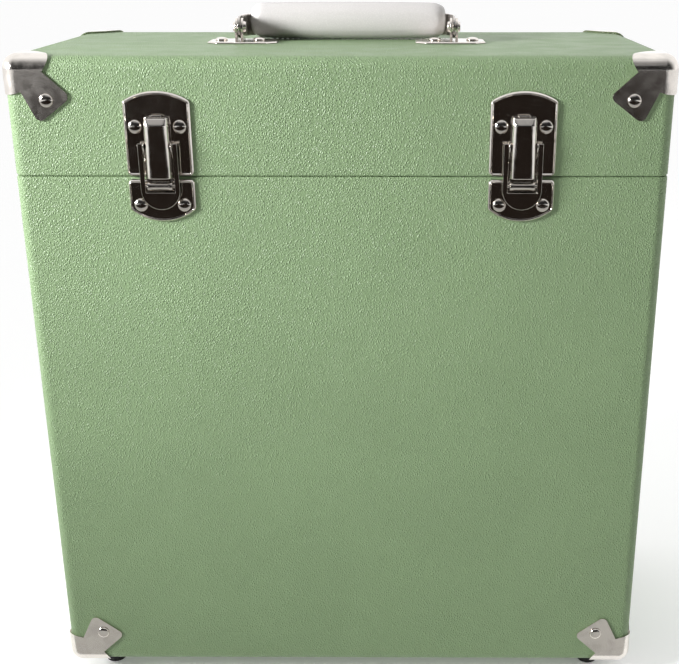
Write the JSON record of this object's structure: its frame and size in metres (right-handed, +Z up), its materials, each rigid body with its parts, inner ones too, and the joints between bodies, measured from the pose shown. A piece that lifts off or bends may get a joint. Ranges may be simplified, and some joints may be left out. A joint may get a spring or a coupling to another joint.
{
  "type": "record carrying case",
  "caption": "Upright carrying case for records: covered wooden box, hinged lid, toggle latches, metal corners and a folding padded handle.",
  "frame": {"origin": "on the floor under the feet, at the middle of the whole object's width and depth", "axes": "+Z up, front with the latches towards -Y, +X to the right when facing the front"},
  "size_m": [0.3558, 0.1906, 0.4009],
  "materials": {
    "leatherette": "satin grained leatherette, sage green",
    "lining": "matt black lining paper and flock",
    "lining_board": "thin board covered in black lining",
    "board": "raw fibreboard",
    "nickel_corner": "nickel plate, slightly mottled",
    "nickel_rivet": "bright nickel plate",
    "nickel_latch": "polished nickel plate",
    "nickel_hinge": "nickel plate",
    "handle_steel": "plated strip steel",
    "handle_leatherette": "smooth off-white leatherette",
    "handle_foam": "foam rubber",
    "screw_steel": "plated steel",
    "foot_rubber": "matt black rubber"
  },
  "bodies": {
    "base": {"base_back_board": "board", "base_bottom": "board", "base_corner_back_left": "nickel_corner", "base_corner_back_right": "nickel_corner", "base_corner_front_left": "nickel_corner", "base_corner_front_right": "nickel_corner", "base_covering": "leatherette", "base_front_board": "board", "base_left_board": "board", "base_lining": "lining", "base_right_board": "board", "base_rivets": "nickel_rivet", "foot_back_left": "foot_rubber", "foot_back_right": "foot_rubber", "foot_front_left": "foot_rubber", "foot_front_right": "foot_rubber", "foot_screws": "screw_steel", "hinge_base_leaf_left": "nickel_hinge", "hinge_base_leaf_right": "nickel_hinge", "hinge_pins": "nickel_hinge", "latch_lever_pins": "nickel_latch", "latch_lower_plate_left": "nickel_latch", "latch_lower_plate_right": "nickel_latch", "lip_back": "lining_board", "lip_front": "lining_board", "lip_left": "lining_board", "lip_right": "lining_board"},
    "lid": {"handle_bracket_left": "nickel_corner", "handle_bracket_right": "nickel_corner", "handle_pivot_pins": "nickel_rivet", "hinge_lid_leaf_left": "nickel_hinge", "hinge_lid_leaf_right": "nickel_hinge", "latch_upper_plate_left": "nickel_latch", "latch_upper_plate_right": "nickel_latch", "lid_back_board": "board", "lid_corner_back_left": "nickel_corner", "lid_corner_back_right": "nickel_corner", "lid_corner_front_left": "nickel_corner", "lid_corner_front_right": "nickel_corner", "lid_covering": "leatherette", "lid_front_board": "board", "lid_left_board": "board", "lid_lining": "lining", "lid_right_board": "board", "lid_rivets": "nickel_rivet", "lid_top": "board"},
    "handle": {"handle_cover": "handle_leatherette", "handle_padding": "handle_foam", "handle_strap": "handle_steel"},
    "lever_left": {"latch_lever_left": "nickel_latch", "latch_link_pin_left": "nickel_latch"},
    "lever_right": {"latch_lever_right": "nickel_latch", "latch_link_pin_right": "nickel_latch"},
    "link_left": {"latch_link_left": "nickel_latch"},
    "link_right": {"latch_link_right": "nickel_latch"}
  },
  "joints": [
    {"name": "lid_hinge", "type": "hinge", "parent": "base", "child": "lid", "pos_m": [0, 0.0929, 0.3176], "axis": [-1, 0, 0], "range_deg": [0, 100]},
    {"name": "handle_fold", "type": "hinge", "parent": "lid", "child": "handle", "pos_m": [0, 0.0013, 0.3882], "axis": [1, 0, 0], "range_deg": [0, 168]},
    {"name": "latch_lever_left", "type": "hinge", "parent": "base", "child": "lever_left", "pos_m": [-0.096, -0.0923, 0.3344], "axis": [-1, 0, 0], "range_deg": [0, 120]},
    {"name": "latch_link_left", "type": "hinge", "parent": "lever_left", "child": "link_left", "pos_m": [-0.096, -0.0915, 0.3133], "axis": [-1, 0, 0], "range_deg": [-126, 0]},
    {"name": "latch_lever_right", "type": "hinge", "parent": "base", "child": "lever_right", "pos_m": [0.096, -0.0923, 0.3344], "axis": [-1, 0, 0], "range_deg": [0, 120]},
    {"name": "latch_link_right", "type": "hinge", "parent": "lever_right", "child": "link_right", "pos_m": [0.096, -0.0915, 0.3133], "axis": [-1, 0, 0], "range_deg": [-126, 0]}
  ],
  "couplings": [
    {"joint": "latch_link_left", "follows": "latch_lever_left", "ratio": -1.05},
    {"joint": "latch_link_right", "follows": "latch_lever_right", "ratio": -1.05}
  ]
}
